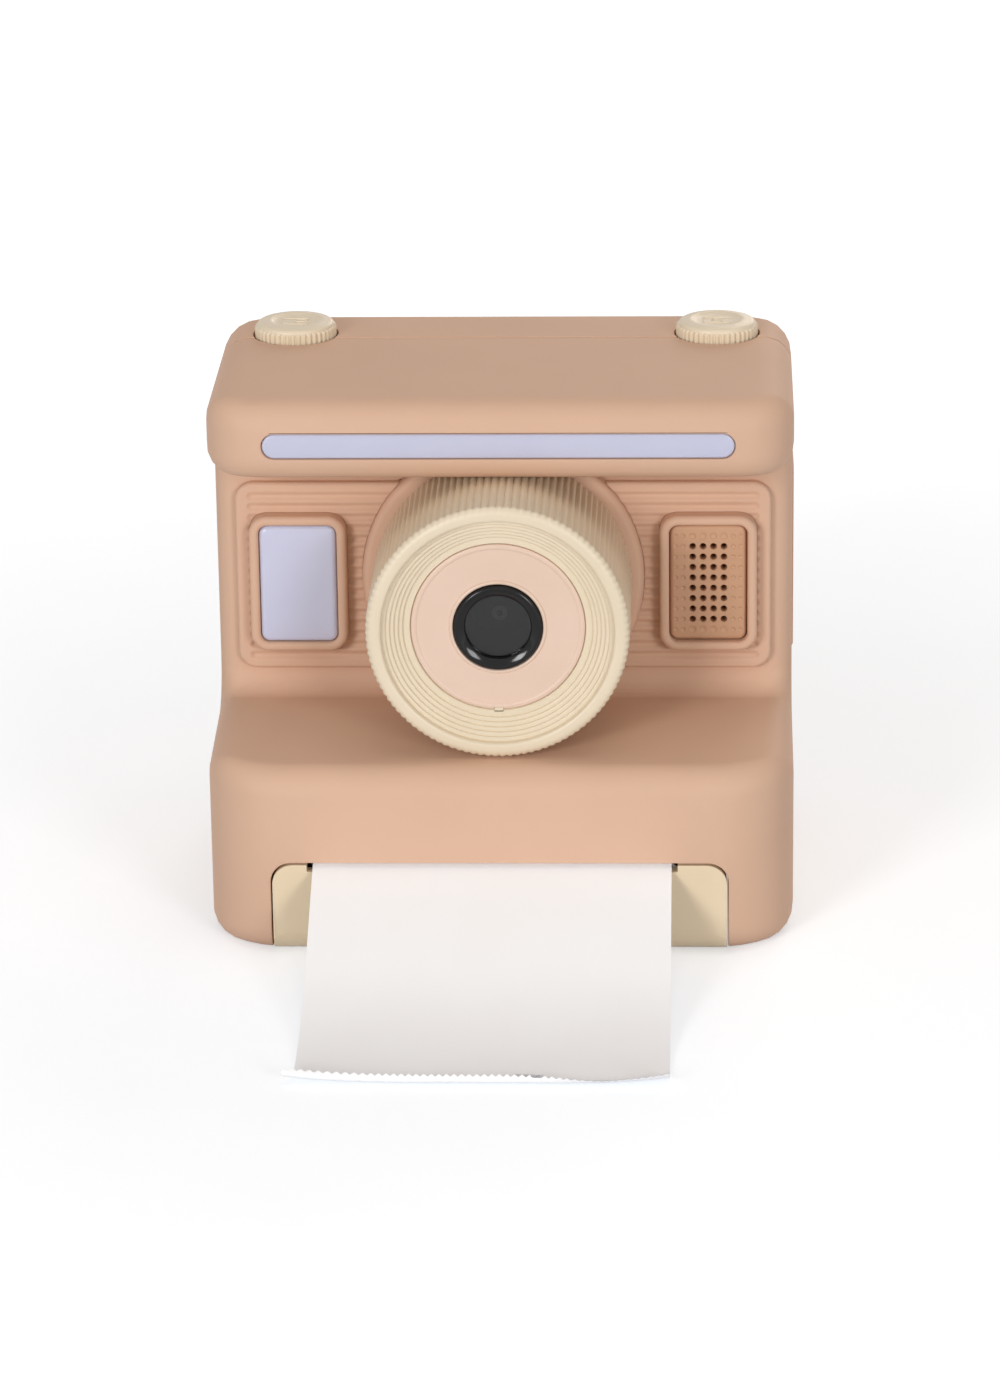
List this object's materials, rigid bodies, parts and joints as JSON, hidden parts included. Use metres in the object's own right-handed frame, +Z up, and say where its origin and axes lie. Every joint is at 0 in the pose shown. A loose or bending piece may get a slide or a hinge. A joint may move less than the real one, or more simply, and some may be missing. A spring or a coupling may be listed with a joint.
{
  "type": "toy instant-print camera",
  "caption": "Rounded toy camera with a hooded light strip, turning ribbed lens barrel, flash and speaker windows, push buttons and a thermal printer behind a drop-down paper door.",
  "frame": {"origin": "centre of the casing on the plane of its flat base", "axes": "+X to the right of someone facing the lens, +Y to the back of the camera, +Z up"},
  "size_m": [0.0923, 0.1239, 0.0868],
  "materials": {
    "peach_plastic": "soft-touch satin moulding",
    "cream_plastic": "satin moulding",
    "lilac_diffuser": "satin translucent moulding",
    "blush_plastic": "satin moulding",
    "black_plastic": "fine satin",
    "dark_window": "polished tinted",
    "steel": "plain zinc plated",
    "circuit_board": "solder resist",
    "white_acetal": "plain moulded",
    "roller_rubber": "ground",
    "thermal_paper": "smooth coated",
    "battery_foil": "foil pouch"
  },
  "bodies": {
    "casing": {"front_shell": "peach_plastic", "rear_shell": "peach_plastic", "shell_screws": "steel", "left_panel": "peach_plastic", "right_panel": "peach_plastic", "light_strip": "lilac_diffuser", "light_board": "circuit_board", "flash_bezel": "peach_plastic", "flash_window": "lilac_diffuser", "flash_board": "circuit_board", "speaker_bezel": "peach_plastic", "speaker_grille": "peach_plastic", "speaker_driver": "black_plastic", "lens_flange": "peach_plastic", "lens_tube": "black_plastic", "lens_bezel": "black_plastic", "lens_window": "dark_window", "camera_module": "black_plastic", "button_board": "circuit_board", "rear_button_board": "circuit_board", "main_board": "circuit_board", "battery": "battery_foil", "screen_module": "black_plastic", "screen_window": "dark_window", "usb_socket": "steel", "printer_frame": "black_plastic", "print_head": "steel", "head_spring": "steel", "print_motor": "steel", "paper_strip": "thermal_paper", "hinge_pin": "steel"},
    "lens_barrel": {"lens_ring": "cream_plastic", "lens_retainer": "black_plastic", "lens_disc": "blush_plastic"},
    "shutter": {"shutter_button": "cream_plastic"},
    "playback": {"playback_button": "cream_plastic"},
    "menu_key": {"menu_button": "cream_plastic"},
    "left_key": {"left_button": "cream_plastic"},
    "ok_key": {"ok_button": "cream_plastic"},
    "right_key": {"right_button": "cream_plastic"},
    "power_key": {"power_button": "cream_plastic"},
    "door": {"paper_door": "cream_plastic", "tear_bar": "steel"},
    "platen": {"platen_roller": "roller_rubber", "platen_gear": "white_acetal"},
    "idler": {"idler_gear": "white_acetal"},
    "pinion": {"motor_pinion": "white_acetal"},
    "roll": {"paper_roll": "thermal_paper"},
    "port_flap": {"port_cover": "peach_plastic"}
  },
  "joints": [
    {"name": "shutter_press", "type": "slide", "parent": "casing", "child": "shutter", "axis": [0, 0, -1], "range_m": [0, 0.0012], "stiffness_N_per_m": 900, "springref_m": -0.0006},
    {"name": "playback_press", "type": "slide", "parent": "casing", "child": "playback", "axis": [0, 0, -1], "range_m": [0, 0.0012], "stiffness_N_per_m": 900, "springref_m": -0.0006},
    {"name": "menu_press", "type": "slide", "parent": "casing", "child": "menu_key", "axis": [0, -1, 0], "range_m": [0, 0.0008], "stiffness_N_per_m": 1200, "springref_m": -0.0005},
    {"name": "left_press", "type": "slide", "parent": "casing", "child": "left_key", "axis": [0, -1, 0], "range_m": [0, 0.0008], "stiffness_N_per_m": 1200, "springref_m": -0.0005},
    {"name": "ok_press", "type": "slide", "parent": "casing", "child": "ok_key", "axis": [0, -1, 0], "range_m": [0, 0.0008], "stiffness_N_per_m": 1200, "springref_m": -0.0005},
    {"name": "right_press", "type": "slide", "parent": "casing", "child": "right_key", "axis": [0, -1, 0], "range_m": [0, 0.0008], "stiffness_N_per_m": 1200, "springref_m": -0.0005},
    {"name": "power_press", "type": "slide", "parent": "casing", "child": "power_key", "axis": [0, -1, 0], "range_m": [0, 0.0008], "stiffness_N_per_m": 1200, "springref_m": -0.0005},
    {"name": "lens_turn", "type": "hinge", "parent": "casing", "child": "lens_barrel", "pos_m": [0, 0, 0.0512], "axis": [0, 1, 0], "continuous": true},
    {"name": "door_open", "type": "hinge", "parent": "casing", "child": "door", "pos_m": [0, 0.015, 0.0025], "axis": [1, 0, 0], "range_deg": [0, 75]},
    {"name": "platen_turn", "type": "hinge", "parent": "door", "child": "platen", "pos_m": [0, -0.02551, 0.01349], "axis": [1, 0, 0], "continuous": true},
    {"name": "idler_turn", "type": "hinge", "parent": "casing", "child": "idler", "pos_m": [0.0333, -0.02388, 0.02183], "axis": [1, 0, 0], "continuous": true},
    {"name": "pinion_turn", "type": "hinge", "parent": "casing", "child": "pinion", "pos_m": [0.0333, -0.01791, 0.01764], "axis": [1, 0, 0], "continuous": true},
    {"name": "roll_turn", "type": "hinge", "parent": "casing", "child": "roll", "pos_m": [0, -0.003, 0.01486], "axis": [1, 0, 0], "continuous": true},
    {"name": "port_flip", "type": "hinge", "parent": "casing", "child": "port_flap", "pos_m": [0.0457, 0.01275, 0.03675], "axis": [0, 1, 0], "range_deg": [0, 100]}
  ],
  "couplings": [
    {"joint": "idler_turn", "follows": "platen_turn", "ratio": -1},
    {"joint": "pinion_turn", "follows": "platen_turn", "ratio": 1.4},
    {"joint": "roll_turn", "follows": "platen_turn", "ratio": 0.368}
  ]
}
